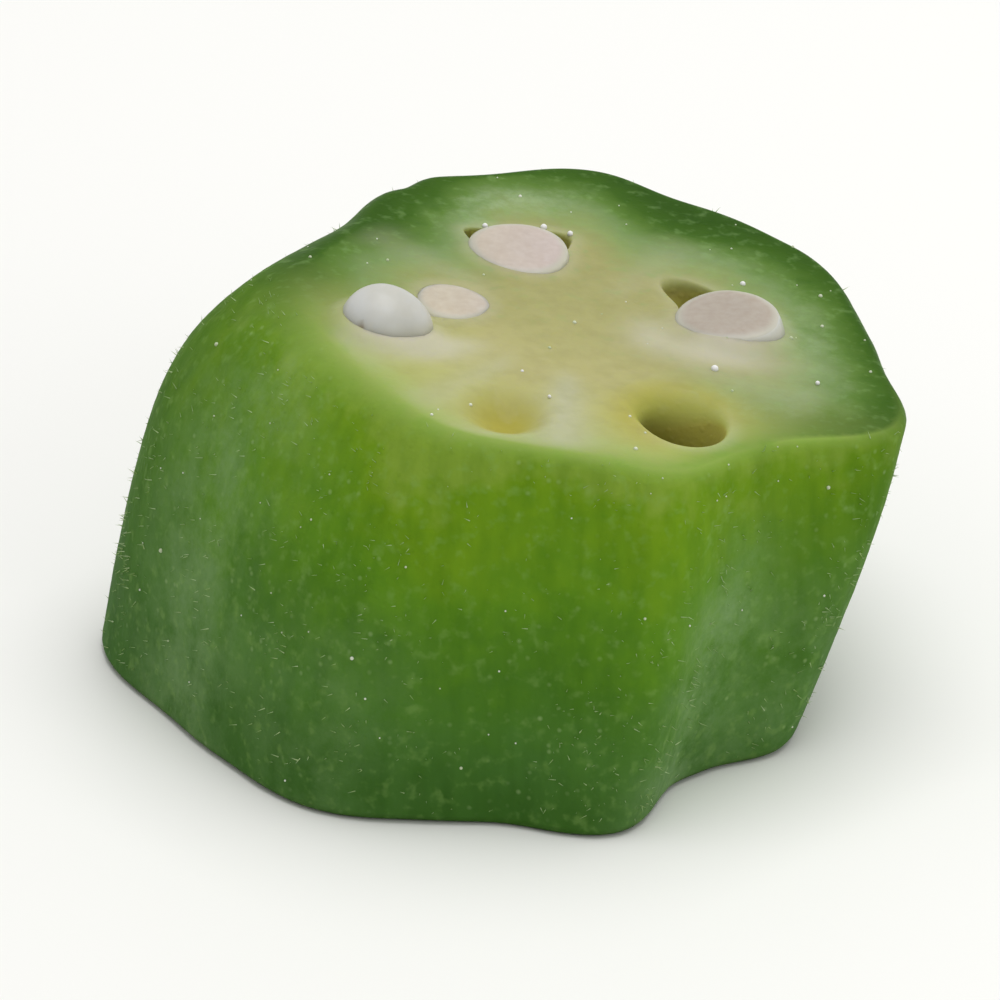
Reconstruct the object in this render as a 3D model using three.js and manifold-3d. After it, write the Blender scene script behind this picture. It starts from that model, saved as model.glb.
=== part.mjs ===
// A half-inch slice of a green okra pod, standing on its lower knife cut.
// The pod is one grown body: a ribbed wall, five seed chambers, the partitions between them and a pale pith
// in the middle. Four chambers run from cut to cut, and one ends just under the upper cut. The round white
// seeds are bodies of their own, in a row in each chamber, most on a short stalk that grows from the pith.
// Millimetres, +Z up, the origin under the middle of the slice.
import * as THREE from "three";
import { mergeVertices } from "three/addons/utils/BufferGeometryUtils.js";
import Module from "manifold-3d";

const wasm = await Module();
wasm.setup();

// The slice as a whole
const SLICE_HEIGHT = 12.7; // half an inch, along the middle
const TOP_CUT_FALL = 0.151; // the upper cut falls this much per millimetre towards +X
const AXIS_LEAN = 3.1; // how far the middle of the upper cut stands to the right of the lower one's
const MIDDLE = { x: -0.66, y: -0.35 }; // the lower cut's middle, seen from the middle of the slice's box
const CUT_EDGE = 0.35; // radius of the soft edge that the knife leaves
const SIDE_SWELL = 0.25; // how far the side swells out half way up

// The ribs and the flutes between them, rib first and then in turn round the pod: the angle from +X and the
// distance from the middle, at the lower and at the upper cut. A rib is drawn to a ridge, a flute is broad.
const RIBS = [
  { base: { angle: -32, distance: 11.9 }, top: { angle: -19, distance: 11.7 } },
  { base: { angle: -8, distance: 11.1 }, top: { angle: 10, distance: 10.5 } },
  { base: { angle: 42, distance: 12.3 }, top: { angle: 50, distance: 11.8 } },
  { base: { angle: 66, distance: 12.1 }, top: { angle: 68, distance: 12.0 } },
  { base: { angle: 88, distance: 12.9 }, top: { angle: 86, distance: 12.9 } },
  { base: { angle: 112, distance: 12.2 }, top: { angle: 112, distance: 11.7 } },
  { base: { angle: 124, distance: 12.2 }, top: { angle: 122, distance: 11.1 } },
  { base: { angle: 141, distance: 11.6 }, top: { angle: 147, distance: 9.7 } },
  { base: { angle: 170, distance: 13.1 }, top: { angle: 168, distance: 9.9 } },
  { base: { angle: 212, distance: 11.2 }, top: { angle: 212, distance: 9.3 } },
  { base: { angle: 244, distance: 12.0 }, top: { angle: 244, distance: 9.9 } },
  { base: { angle: 267, distance: 11.5 }, top: { angle: 267, distance: 9.5 } },
  { base: { angle: 290, distance: 13.1 }, top: { angle: 290, distance: 10.3 } },
  { base: { angle: 311, distance: 10.9 }, top: { angle: 311, distance: 9.5 } },
];
const RIDGE_SHARPNESS = 1.5;
// The side draws in towards the upper cut, steadily at the right and only under the cut at the left shoulder.
const TAPER = { steady: 1.3, shoulder: 5.2, shoulderAngle: 172 };

// The seed chambers, with their middle's distance and half sizes at the upper cut. They are wider outwards.
// One ends under a skin of pith, which is a shallow dish in the upper cut.
const CHAMBER_SPREAD = 1.12; // the lower cut is this much larger
const CHAMBER_FLARE = 0.22;
const ROOF_SHARE = 0.86; // of the slice's height, where the roofed chamber ends
const DISH_DEPTH = 0.7;
const CHAMBERS = [
  { name: "right", angle: 23, distance: 5.9, halfDeep: 2.3, halfAcross: 2.9 },
  { name: "far", angle: 107, distance: 5.85, halfDeep: 2.4, halfAcross: 2.3 },
  { name: "left", angle: 185, distance: 5.1, halfDeep: 2.4, halfAcross: 2.0 },
  { name: "near_left", angle: 251, distance: 7.1, halfDeep: 1.75, halfAcross: 1.6, roofed: true },
  { name: "near_right", angle: 302, distance: 6.55, halfDeep: 2.1, halfAcross: 1.4 },
];

// The seeds: their chamber, the depth of their middle below the upper cut, how far they sit from the pod's
// middle and to one side, and their length and width. A seed that the knife went through has a facet: its
// height over the upper cut, its fall per millimetre towards +X and the degrees it tips to the front. The one
// in the lower cut has baseCut instead.
const SEED_GAP = 0.3;
const SEED_ROUNDNESS = 0.12; // how much blunter the outer end is than the end at the stalk
const STALK_RADIUS = 0.45;
const STALK_DEPTH = 1; // a seed nearer the upper cut than this has lost its stalk to the knife
const SEEDS = [
  {
    chamber: "right", depth: 0.65, distance: 5.53, across: -0.45, length: 4.1, width: 4.1,
    facet: { rise: 0.5, fall: 0, tip: 3 },
  },
  { chamber: "right", depth: 5.1, distance: 5.7, length: 3.9, width: 3.6 },
  { chamber: "right", depth: 9.3, distance: 5.8, length: 3.9, width: 3.5 },
  {
    chamber: "far", depth: 0.6, distance: 5.47, across: 0.1, length: 3.9, width: 3.7,
    facet: { rise: 0.25, fall: 0.09, tip: 3 },
  },
  { chamber: "far", depth: 5.0, distance: 5.6, length: 4.0, width: 3.6 },
  { chamber: "far", depth: 9.2, distance: 5.7, length: 3.9, width: 3.6 },
  { chamber: "left", depth: 0.2, distance: 6.32, across: 1.08, length: 3.2, width: 3.2 },
  {
    chamber: "left", depth: 0.75, distance: 3.77, across: -1.23, length: 2.9, width: 3.0,
    facet: { rise: 0.05, fall: 0.15, tip: 0 },
  },
  { chamber: "left", depth: 4.5, distance: 5.1, length: 3.8, width: 3.3 },
  { chamber: "left", depth: 8.7, distance: 5.2, length: 3.8, width: 3.4 },
  { chamber: "near_left", depth: 3.6, distance: 6.8, length: 3.3, width: 3.1 },
  { chamber: "near_left", depth: 7.6, distance: 6.8, length: 3.4, width: 3.2 },
  { chamber: "near_left", depth: 11.6, distance: 6.8, length: 3.4, width: 3.2, baseCut: true },
  { chamber: "near_right", depth: 5.0, distance: 6.4, length: 3.5, width: 3.1 },
  { chamber: "near_right", depth: 9.2, distance: 6.4, length: 3.6, width: 3.2 },
];
const BASE_SEED_RECESS = 0.3; // the seed in the lower cut stays this far off the surface below

// How finely the surfaces are divided
const SKIN_STEPS = 112;
const SKIN_LEVELS = 9;
const EDGE_STEPS = 3;
const CHAMBER_STEPS = 26;
const CHAMBER_LEVELS = [-0.12, 0.0, 0.35, 0.7, 1.0, 1.12];
const SEED_SIDES = 14;
const SEED_RINGS = 9;
const DISH_RINGS = 9;
const STALK_SIDES = 6;
const LEVEL_CROWDING = 1.25; // above 1, the skin's levels are closer together under the upper cut

const radians = THREE.MathUtils.degToRad;
const lerp = THREE.MathUtils.lerp;

// How far the skin is from the middle at an angle, with reach 0 at the lower cut and 1 at the upper. Each
// stretch runs from a ridge down to a flute or back.
const turnBetween = (from, to) => (((to - from) % 360) + 360) % 360;
function ribbedDistance(angle, reach) {
  const ribs = RIBS.map(({ base, top }) => ({
    angle: lerp(base.angle, top.angle, reach),
    distance: lerp(base.distance, top.distance, reach),
  }));
  const followed = (rib, index) => {
    const next = ribs[(index + 1) % ribs.length];
    return turnBetween(rib.angle, angle) < turnBetween(rib.angle, next.angle);
  };
  const index = ribs.findIndex(followed);
  const before = ribs[index];
  const after = ribs[(index + 1) % ribs.length];
  const share = turnBetween(before.angle, angle) / turnBetween(before.angle, after.angle);
  const fromRidge = index % 2 === 0;
  const nearness = 0.5 + 0.5 * Math.cos(Math.PI * (fromRidge ? share : 1 - share));
  const ridge = fromRidge ? before : after;
  const flute = fromRidge ? after : before;
  return lerp(flute.distance, ridge.distance, nearness ** RIDGE_SHARPNESS);
}

// The height of the upper cut over a point at x from the upper cut's middle.
function cutHeight(x) {
  return SLICE_HEIGHT - TOP_CUT_FALL * x;
}

// A point of the skin at an angle and a share of the height, inset from the skin by so much.
function skinPoint(angle, share, inset) {
  const towardsShoulder = Math.max(0, Math.cos(radians(angle - TAPER.shoulderAngle)));
  const power = TAPER.steady + TAPER.shoulder * towardsShoulder ** 2;
  const top = ribbedDistance(angle, 1);
  const swell = SIDE_SWELL * Math.sin(Math.PI * share);
  const distance = ribbedDistance(angle, share ** power) + swell - inset;
  return new THREE.Vector3(
    AXIS_LEAN * share + distance * Math.cos(radians(angle)),
    distance * Math.sin(radians(angle)),
    share * cutHeight(top * Math.cos(radians(angle))),
  );
}

// A point inside the pod, at an angle and distance as they are at the upper cut and at a share of the height.
function innerPoint(angle, distance, across, share) {
  const spread = lerp(CHAMBER_SPREAD, 1, share);
  const x = distance * Math.cos(radians(angle)) - across * Math.sin(radians(angle));
  const y = distance * Math.sin(radians(angle)) + across * Math.cos(radians(angle));
  return new THREE.Vector3(AXIS_LEAN * share + spread * x, spread * y, share * cutHeight(x));
}

// A closed body through rings of points that run upwards, closed by a flat fan at each end.
function loft(rings) {
  const count = rings[0].length;
  const points = rings.flat();
  const faces = [];
  for (let ring = 0; ring < rings.length - 1; ring++) {
    for (let step = 0; step < count; step++) {
      const next = (step + 1) % count;
      const low = ring * count;
      const high = low + count;
      faces.push(low + step, low + next, high + next, low + step, high + next, high + step);
    }
  }
  for (const end of [0, rings.length - 1]) {
    const middle = new THREE.Vector3();
    rings[end].forEach((point) => middle.addScaledVector(point, 1 / count));
    points.push(middle);
    for (let step = 0; step < count; step++) {
      const here = end * count + step;
      const next = end * count + ((step + 1) % count);
      if (end === 0) faces.push(points.length - 1, next, here);
      else faces.push(points.length - 1, here, next);
    }
  }
  return new THREE.BufferGeometry().setFromPoints(points).setIndex(faces);
}

// three.js geometry as a solid that can be joined and cut, and back again.
function solidFrom(geometry) {
  const bare = geometry.clone();
  bare.deleteAttribute("normal");
  bare.deleteAttribute("uv");
  const merged = mergeVertices(bare, 1e-4);
  const vertProperties = new Float32Array(merged.attributes.position.array);
  const triVerts = new Uint32Array(merged.index.array);
  return new wasm.Manifold(new wasm.Mesh({ numProp: 3, vertProperties, triVerts }));
}

function geometryFrom(solid) {
  const mesh = solid.getMesh();
  const geometry = new THREE.BufferGeometry();
  geometry.setAttribute("position", new THREE.BufferAttribute(new Float32Array(mesh.vertProperties), 3));
  geometry.setIndex(new THREE.BufferAttribute(new Uint32Array(mesh.triVerts), 1));
  geometry.computeVertexNormals();
  return geometry;
}

// The ribbed outside, with its two cut edges softened.
function outside() {
  const levels = [];
  for (let step = 0; step <= EDGE_STEPS; step++) {
    const turn = (step / EDGE_STEPS) * (Math.PI / 2);
    levels.push({ rise: CUT_EDGE * (1 - Math.cos(turn)), inset: CUT_EDGE * (1 - Math.sin(turn)) });
  }
  const rings = [];
  const ring = (shareAt, inset) => {
    const points = [];
    for (let step = 0; step < SKIN_STEPS; step++) {
      const angle = (360 * step) / SKIN_STEPS;
      points.push(skinPoint(angle, shareAt(angle), inset));
    }
    rings.push(points);
  };
  const wholeHeight = (angle) => cutHeight(ribbedDistance(angle, 1) * Math.cos(radians(angle)));
  levels.forEach(({ rise, inset }) => ring((angle) => rise / wholeHeight(angle), inset));
  for (let level = 1; level < SKIN_LEVELS; level++) {
    const share = 1 - (1 - level / SKIN_LEVELS) ** LEVEL_CROWDING;
    ring(() => share, 0);
  }
  levels.reverse().forEach(({ rise, inset }) => ring((angle) => 1 - rise / wholeHeight(angle), inset));
  return solidFrom(loft(rings));
}

function chamberHollow(chamber) {
  const underRoof = [...CHAMBER_LEVELS.filter((share) => share < ROOF_SHARE), ROOF_SHARE];
  const levels = chamber.roofed ? underRoof : CHAMBER_LEVELS;
  const rings = levels.map((share) => {
    const points = [];
    for (let step = 0; step < CHAMBER_STEPS; step++) {
      const turn = (2 * Math.PI * step) / CHAMBER_STEPS;
      const outwards = chamber.halfDeep * Math.cos(turn);
      const across = chamber.halfAcross * Math.sin(turn) * (1 + CHAMBER_FLARE * Math.cos(turn));
      points.push(innerPoint(chamber.angle, chamber.distance + outwards, across, share));
    }
    return points;
  });
  return solidFrom(loft(rings));
}

// The shallow dish over a roofed chamber.
function dish(chamber) {
  const middle = innerPoint(chamber.angle, chamber.distance, 0, 1);
  const ball = new THREE.SphereGeometry(1, CHAMBER_STEPS, DISH_RINGS);
  ball.scale(chamber.halfDeep, chamber.halfAcross, DISH_DEPTH);
  ball.rotateZ(radians(chamber.angle)).rotateY(Math.atan(TOP_CUT_FALL));
  return solidFrom(ball.translate(middle.x, middle.y, middle.z));
}

// A seed about the origin, its blunt end towards +X and its stalk end towards -X, grown all round by so much.
function seedShape(seed, grown) {
  const profile = [];
  for (let ring = 0; ring <= SEED_RINGS; ring++) {
    const turn = Math.PI * (1 - ring / SEED_RINGS);
    const waist = 1 + SEED_ROUNDNESS * Math.cos(turn);
    const radius = ring === 0 || ring === SEED_RINGS ? 0 : (seed.width / 2 + grown) * Math.sin(turn) * waist;
    profile.push(new THREE.Vector2(radius, (seed.length / 2 + grown) * Math.cos(turn)));
  }
  return new THREE.LatheGeometry(profile, SEED_SIDES).rotateZ(-Math.PI / 2);
}

function seedMiddle(seed) {
  const { angle } = CHAMBERS.find((chamber) => chamber.name === seed.chamber);
  const share = 1 - seed.depth / cutHeight(seed.distance * Math.cos(radians(angle)));
  return innerPoint(angle, seed.distance, seed.across ?? 0, share);
}

function placedSeed(seed, grown) {
  const { angle } = CHAMBERS.find((chamber) => chamber.name === seed.chamber);
  const middle = seedMiddle(seed);
  return seedShape(seed, grown).rotateZ(radians(angle)).translate(middle.x, middle.y, middle.z);
}

// A block whose lower face is a facet that goes through a point, falls towards +X and tips to the front.
const KNIFE_SIZE = 40;
function knifeAbove(point, fall, tip) {
  const block = new THREE.BoxGeometry(KNIFE_SIZE, KNIFE_SIZE, KNIFE_SIZE).translate(0, 0, KNIFE_SIZE / 2);
  block.rotateY(Math.atan(fall)).rotateX(radians(tip));
  return solidFrom(block.translate(point.x, point.y, point.z));
}

function seedSolid(seed) {
  const whole = solidFrom(placedSeed(seed, 0));
  const middle = seedMiddle(seed);
  if (seed.facet) {
    const { rise, fall, tip } = seed.facet;
    const onCut = new THREE.Vector3(middle.x, middle.y, cutHeight(middle.x - AXIS_LEAN) + rise);
    return whole.subtract(knifeAbove(onCut, fall, tip));
  }
  if (seed.baseCut) {
    const block = new THREE.BoxGeometry(KNIFE_SIZE, KNIFE_SIZE, KNIFE_SIZE);
    return whole.subtract(solidFrom(block.translate(0, 0, BASE_SEED_RECESS - KNIFE_SIZE / 2)));
  }
  return whole;
}

// The stalk that carries a seed: a short rod from well inside the pith to the seed's middle.
function stalk(seed) {
  const middle = seedMiddle(seed);
  const foot = new THREE.Vector3(AXIS_LEAN * (middle.z / SLICE_HEIGHT), 0, middle.z);
  const along = middle.clone().sub(foot);
  const rod = new THREE.CylinderGeometry(STALK_RADIUS, STALK_RADIUS, along.length(), STALK_SIDES);
  const upright = new THREE.Vector3(0, 1, 0);
  rod.applyQuaternion(new THREE.Quaternion().setFromUnitVectors(upright, along.clone().normalize()));
  const halfWay = foot.clone().add(middle).multiplyScalar(0.5);
  return solidFrom(rod.translate(halfWay.x, halfWay.y, halfWay.z));
}

function podSolid() {
  let pod = outside();
  for (const chamber of CHAMBERS) pod = pod.subtract(chamberHollow(chamber));
  for (const chamber of CHAMBERS.filter(({ roofed }) => roofed)) pod = pod.subtract(dish(chamber));
  for (const seed of SEEDS.filter(({ depth }) => depth > STALK_DEPTH)) pod = pod.add(stalk(seed));
  for (const seed of SEEDS) pod = pod.subtract(solidFrom(placedSeed(seed, SEED_GAP)));
  return pod;
}

const podFlesh = new THREE.MeshStandardMaterial({ color: 0x527922, roughness: 0.38, metalness: 0 });
const seedCoat = new THREE.MeshStandardMaterial({ color: 0xd4cbc2, roughness: 0.32, metalness: 0 });

const slice = new THREE.Group();
slice.position.set(MIDDLE.x, MIDDLE.y, 0);

const pod = new THREE.Mesh(geometryFrom(podSolid()), podFlesh);
pod.name = "pod";
slice.add(pod);

const counted = {};
for (const seed of SEEDS) {
  counted[seed.chamber] = (counted[seed.chamber] ?? 0) + 1;
  const mesh = new THREE.Mesh(geometryFrom(seedSolid(seed)), seedCoat);
  mesh.name = `seed_${seed.chamber}_${counted[seed.chamber]}`;
  slice.add(mesh);
}

export default new THREE.Group().add(slice);
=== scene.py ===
import math

import bmesh
import bpy
import numpy as np
from mathutils import Matrix, Vector, geometry, noise


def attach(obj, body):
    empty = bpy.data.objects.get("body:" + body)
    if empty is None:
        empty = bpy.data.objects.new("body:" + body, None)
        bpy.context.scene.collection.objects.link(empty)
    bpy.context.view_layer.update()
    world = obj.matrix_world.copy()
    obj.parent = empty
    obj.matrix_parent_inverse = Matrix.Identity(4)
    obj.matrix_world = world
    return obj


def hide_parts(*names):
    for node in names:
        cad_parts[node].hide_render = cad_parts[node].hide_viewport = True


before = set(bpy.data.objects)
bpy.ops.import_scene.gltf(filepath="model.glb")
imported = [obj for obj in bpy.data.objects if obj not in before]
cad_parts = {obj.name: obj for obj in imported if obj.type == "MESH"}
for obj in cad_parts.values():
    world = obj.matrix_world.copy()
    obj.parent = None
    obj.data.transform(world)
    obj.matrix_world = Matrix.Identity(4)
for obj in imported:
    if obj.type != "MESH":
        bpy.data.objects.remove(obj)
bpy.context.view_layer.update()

scene = bpy.context.scene
MM = 0.001

# Camera
# The slice is seen from its front and from 27 degrees above it. A long lens, close to half a metre away,
# keeps its near and far sides at almost the same scale.
AIM = Vector((0, -0.2 * MM, 6.2 * MM))
CAMERA_DISTANCE = 450 * MM
CAMERA_ELEVATION = math.radians(27)
VIEW_WIDTH = 33.8 * MM


def add_object(name, data):
    """An object for a mesh, a light or a camera, put in the scene."""
    made = bpy.data.objects.new(name, data)
    scene.collection.objects.link(made)
    return made


towards_camera = Vector((0, -math.cos(CAMERA_ELEVATION), math.sin(CAMERA_ELEVATION)))
camera = add_object("camera", bpy.data.cameras.new("camera"))
camera.data.lens = camera.data.sensor_width * CAMERA_DISTANCE / VIEW_WIDTH
camera.data.clip_start = 10 * MM
camera.data.clip_end = 10
camera.location = AIM + CAMERA_DISTANCE * towards_camera
camera.rotation_euler = towards_camera.to_track_quat("Z", "Y").to_euler()
scene.camera = camera
scene.view_settings.view_transform = "Standard"


# Floor and light
# A matt, nearly white table top under one wide softbox above the slice and a little behind it, a weaker one
# at its front right, and the even light of a white room.
def linear(hex_colour):
    """An sRGB hex colour as the linear colour that Blender works in."""
    values = [int(hex_colour[i:i + 2], 16) / 255 for i in (1, 3, 5)]
    return (*[v / 12.92 if v <= 0.04045 else ((v + 0.055) / 1.055) ** 2.4 for v in values], 1.0)


def add_node(tree, kind, settings=None, links=None):
    """Adds a node with its settings and links.

    The setting stops fills a colour ramp. A link is a node, a socket, a hex colour or a plain value.
    """
    made = tree.nodes.new(kind)
    for name, value in (settings or {}).items():
        if name != "stops":
            setattr(made, name, value)
            continue
        ramp = made.color_ramp
        while len(ramp.elements) < len(value):
            ramp.elements.new(1.0)
        for element, (place, colour) in zip(ramp.elements, value):
            element.position = place
            element.color = linear(colour)
    for name, value in (links or {}).items():
        sockets = [s for s in made.inputs if s.enabled and s.name == name]
        socket = made.inputs[name] if isinstance(name, int) else sockets[0]
        if isinstance(value, bpy.types.Node):
            value = next(s for s in value.outputs if s.enabled)
        if isinstance(value, bpy.types.NodeSocket):
            tree.links.new(value, socket)
        else:
            socket.default_value = linear(value) if str(value).startswith("#") else value
    return made


def new_material(name):
    """A material, and its node tree with nothing in it."""
    made = bpy.data.materials.new(name)
    made.use_nodes = True
    made.node_tree.nodes.clear()
    return made, made.node_tree


FLOOR_SIZE = 3.0
FLOOR_DROP = 0.02 * MM  # below the lower cut, so that the two faces don't lie in one plane
corners = [(-1, -1), (1, -1), (1, 1), (-1, 1)]
floor_mesh = bpy.data.meshes.new("floor")
floor_mesh.from_pydata(
    [(x * FLOOR_SIZE / 2, y * FLOOR_SIZE / 2, -FLOOR_DROP) for x, y in corners], [], [(0, 1, 2, 3)])

# White laminate: a hard, smooth sheet with a satin face. It gives an even white that takes a soft shadow.
laminate, tree = new_material("white_laminate")
shader = add_node(tree, "ShaderNodeBsdfPrincipled", links={
    "Base Color": "#f1f1ef", "Roughness": 0.55, "IOR": 1.45})
add_node(tree, "ShaderNodeOutputMaterial", links={"Surface": shader})
floor_mesh.materials.append(laminate)
floor = add_object("floor", floor_mesh)

SOFTBOXES = [  # place and size in metres, power in watts
    {"name": "softbox_top", "place": (0.05, 0.05, 0.34), "size": 0.30, "power": 0.88},
    {"name": "softbox_front", "place": (0.24, -0.26, 0.20), "size": 0.20, "power": 0.20},
]
for softbox in SOFTBOXES:
    light = bpy.data.lights.new(softbox["name"], "AREA")
    light.shape = "SQUARE"
    light.size = softbox["size"]
    light.energy = softbox["power"]
    lamp = add_object(softbox["name"], light)
    lamp.location = softbox["place"]
    lamp.rotation_euler = (Vector(softbox["place"]) - AIM).to_track_quat("Z", "Y").to_euler()

ROOM_LIGHT = 0.52
room = bpy.data.worlds.new("room")
room.use_nodes = True
background = room.node_tree.nodes["Background"].inputs
background["Color"].default_value = linear("#fffefb")
background["Strength"].default_value = ROOM_LIGHT
scene.world = room


# Pod slice
# One grown body: a green skin drawn into ribs, a fleshy wall, five seed chambers and a pale, wet pith between
# them. A knife cut it at both ends. At the upper cut the pith closes softly round the seeds, and roofs one
# chamber with a shallow dish. All sizes in this section are in millimetres.
SLICE_HEIGHT = 12.7
TOP_CUT_FALL = 0.151
AXIS_LEAN = 3.1
MIDDLE = np.array([-0.66, -0.35, 0.0])
CUT_EDGE = 0.35
SHOULDER_EDGE = 0.8  # the cut's edge is rounder at the left shoulder
EDGE_SHOULDER = (190, 60)  # the direction of that, and its half angle
SIDE_SWELL = 0.25
RIBS = [  # rib first and then flute: angle and distance at the lower cut, angle and distance at the upper cut
    ((-32, 11.9), (-19, 11.7)), ((-8, 11.1), (10, 10.5)), ((42, 12.3), (50, 11.8)), ((66, 12.1), (68, 12.0)),
    ((88, 12.9), (86, 12.9)), ((112, 12.2), (112, 11.7)), ((124, 12.2), (122, 11.1)),
    ((141, 11.6), (147, 9.7)), ((170, 13.1), (168, 9.9)), ((212, 11.2), (212, 9.3)),
    ((244, 12.0), (244, 9.9)), ((267, 11.5), (267, 9.5)), ((290, 13.1), (290, 10.3)),
    ((311, 10.9), (311, 9.5))]
RIDGE_SHARPNESS = 1.5
TAPER_STEADY, TAPER_SHOULDER, SHOULDER_ANGLE = 1.3, 5.2, 172
CHAMBER_SPREAD = 1.12
CHAMBER_FLARE = 0.22
ROOFED_CHAMBER = "near_left"
ROOF_SHARE = 0.86
DISH_DEPTH = 0.7
DISH_EDGE = (0.1, 1.15)  # the dish rises from the first share of the chamber's half sizes to the second
# Angle, distance from the middle, half depth and half width at the upper cut. The pith's collar clings to the
# seeds there and climbs them a little: rise is how far, all round and then more in one direction, with its
# half angle. Only its slits stay open: direction, half angle and gap. An open chamber has a mouth of its own
# instead: its middle and its half sizes. lip is the radius of the mouth's soft edge, at its smallest, at its
# largest and in which direction.
CHAMBERS = {
    "right": {"angle": 23, "distance": 5.9, "deep": 2.3, "across": 2.9, "lip": (0.04, 0.04, 0),
              "rise": (0.1, 0.34, 275, 50), "slits": [(130, 22, 1.6), (76, 40, 0.2)]},
    "far": {"angle": 107, "distance": 5.85, "deep": 2.4, "across": 2.3, "lip": (0.04, 0.04, 0),
            "rise": (0.06, 0.1, 270, 50), "slits": [(150, 13, 0.45), (46, 18, 0.6), (100, 50, 0.1)]},
    "left": {"angle": 185, "distance": 5.1, "deep": 2.4, "across": 2.0, "lip": (0.04, 0.04, 0),
             "rise": (0.02, 0.4, 227, 62), "slits": []},
    "near_left": {"angle": 251, "distance": 7.1, "deep": 1.75, "across": 1.6},
    "near_right": {"angle": 302, "distance": 6.55, "deep": 2.1, "across": 1.4, "lip": (0.14, 1.4, 118),
                   "mouth": ((3.75, -5.85), (1.35, 1.65))},
}
LOWER_LIP = (0.2, 0.2, 0)
SLIT_LIP = 0.3  # how much of a slit's gap is its soft edge
CLING = 0.08  # how far the collar's edge reaches into a seed's skin, and so leaves no gap
CLIMB_FADE = 0.25  # how far below its edge the collar has stopped climbing
MENISCUS = 0.5  # how far the climb spreads over the cut
# From the upper cut down: depth, distance from the middle, offset, length, width and the knife's facet. That
# is how far it stands over the cut, its fall towards the right and its tip in degrees, or the lower cut.
SEEDS = {
    "right": [(0.65, 5.53, -0.45, 4.1, 4.1, (0.5, 0, 3)), (5.1, 5.7, 0, 3.9, 3.6, None),
              (9.3, 5.8, 0, 3.9, 3.5, None)],
    "far": [(0.6, 5.47, 0.1, 3.9, 3.7, (0.25, 0.09, 3)), (5.0, 5.6, 0, 4.0, 3.6, None),
            (9.2, 5.7, 0, 3.9, 3.6, None)],
    "left": [(0.2, 6.32, 1.08, 3.2, 3.2, None), (0.75, 3.77, -1.23, 2.9, 3.0, (0.05, 0.15, 0)),
             (4.5, 5.1, 0, 3.8, 3.3, None), (8.7, 5.2, 0, 3.8, 3.4, None)],
    "near_left": [(3.6, 6.8, 0, 3.3, 3.1, None), (7.6, 6.8, 0, 3.4, 3.2, None),
                  (11.6, 6.8, 0, 3.4, 3.2, "base")],
    "near_right": [(5.0, 6.4, 0, 3.5, 3.1, None), (9.2, 6.4, 0, 3.6, 3.2, None)],
}
SEED_BLUNTNESS = 0.12  # how much blunter a seed's outer end is than the end at its stalk
SEED_CLEARANCE = 0.1  # between a seed and the chamber's wall below the collar
COLLAR_DEPTH = (0.5, 1.9)  # the collar hugs the seed down to the first depth and has opened out at the second
MOUTH_DEPTH = (0.2, 2.6)  # the same for the mouth of the open chamber
COLLAR_CROWDING = 1.6  # brings the rings closer together under the upper cut, where the collar bends
# Bloom, partly a painted reflection: direction at the upper and at the lower cut, half angle, strength and
# how far down it begins
HAZY_PLACES = [
    (199, 204, 16, 0.8, 0), (238, 240, 14, 0.4, 7), (312, 301, 10, 1.0, 3.5), (330, 325, 14, 0.5, 5),
    (112, 112, 16, 0.6, 1), (66, 66, 9, 0.5, 2), (10, 10, 12, 0.6, 2)]
BLOOM_AND_REFLECTION_FADE = 2.5  # over how many millimetres it begins
# Froth on the cut: direction, half angle and strength, and between which distances from the rim and from the
# green band's edge it begins, and where it ends
FROTHY_PLACES = [(104, 16, 1.0), (55, 9, 0.3), (12, 24, 0.6), (-34, 14, 0.5)]
FROTH_OFF_RIM, FROTH_START, FROTH_END = (0.7, 2.2), (1.0, 2.4), (3.4, 5.2)
# Painted light on the skin: the bright skin under the rim and where it reaches further down is painted light.
# Below SUNNY_END the skin has painted shade.
PALE_EDGE = (248, 14, 1.1)  # where the pale rim runs on down the skin: direction, half angle and how far
PALE_EDGE_SHARE = (0.4, 0.9)  # it fades in between these shares of the height
SUNNY_CORNER = (322, 20, 8.0)  # where the bright skin goes on under the rim: direction, half angle and depth
SUNNY_END = (9, 12)  # the bright skin ends between these depths
SEPTA = [(267, 8, 1.0), (234, 6, 0.5), (212, 7, 0.3), (142, 7, 0.3), (64, 7, 0.3), (338, 9, 0.3)]
SEPTA_START, SEPTA_END = (2.5, 4.5), (8.2, 9.4)  # between which distances from the middle they begin and end
# On the skin, this side has painted light and the opposite side has painted shade.
PALE_RIM_WAY = 253  # the side where the cut grades into a pale rim. Opposite, the rim is a dark green band
PALE_RIM_TURN = (-0.1, 0.75)  # the cosine of the angle from there where it begins, and where it is full
PALE_RIM_INNER = 3.5  # within this distance from the middle, neither side shows
BAND_SHIFTS = [  # where the green band is narrower, or wider if below 0: direction, half angle and how far
    (103, 10, 1.3), (133, 13, -0.4), (68, 13, -1.3), (25, 12, 0.9), (0, 14, 0.9), (250, 12, 0.5),
    (155, 12, 0.9), (300, 13, -0.5)]
SMEARS = [  # milk that the knife dragged out of the cut seeds: middle, half sizes and strength
    (4.9, -0.35, 2.1, 1.0, 0.85), (-5.8, -3.1, 1.9, 0.7, 0.8), (-4.3, -2.3, 1.2, 0.6, 0.6),
    (2.6, 0.6, 0.9, 1.2, 0.5), (-3.4, -9.4, 2.4, 1.2, 0.4)]
# The open mouth's yellow lip is partly the flesh's own tint and partly painted light on the mouth's shaded
# side.
YELLOW_LIP, YELLOW_LIP_WAY = (0.2, 1.9), 135  # of the open mouth: from and to which distance, on which side
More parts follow.
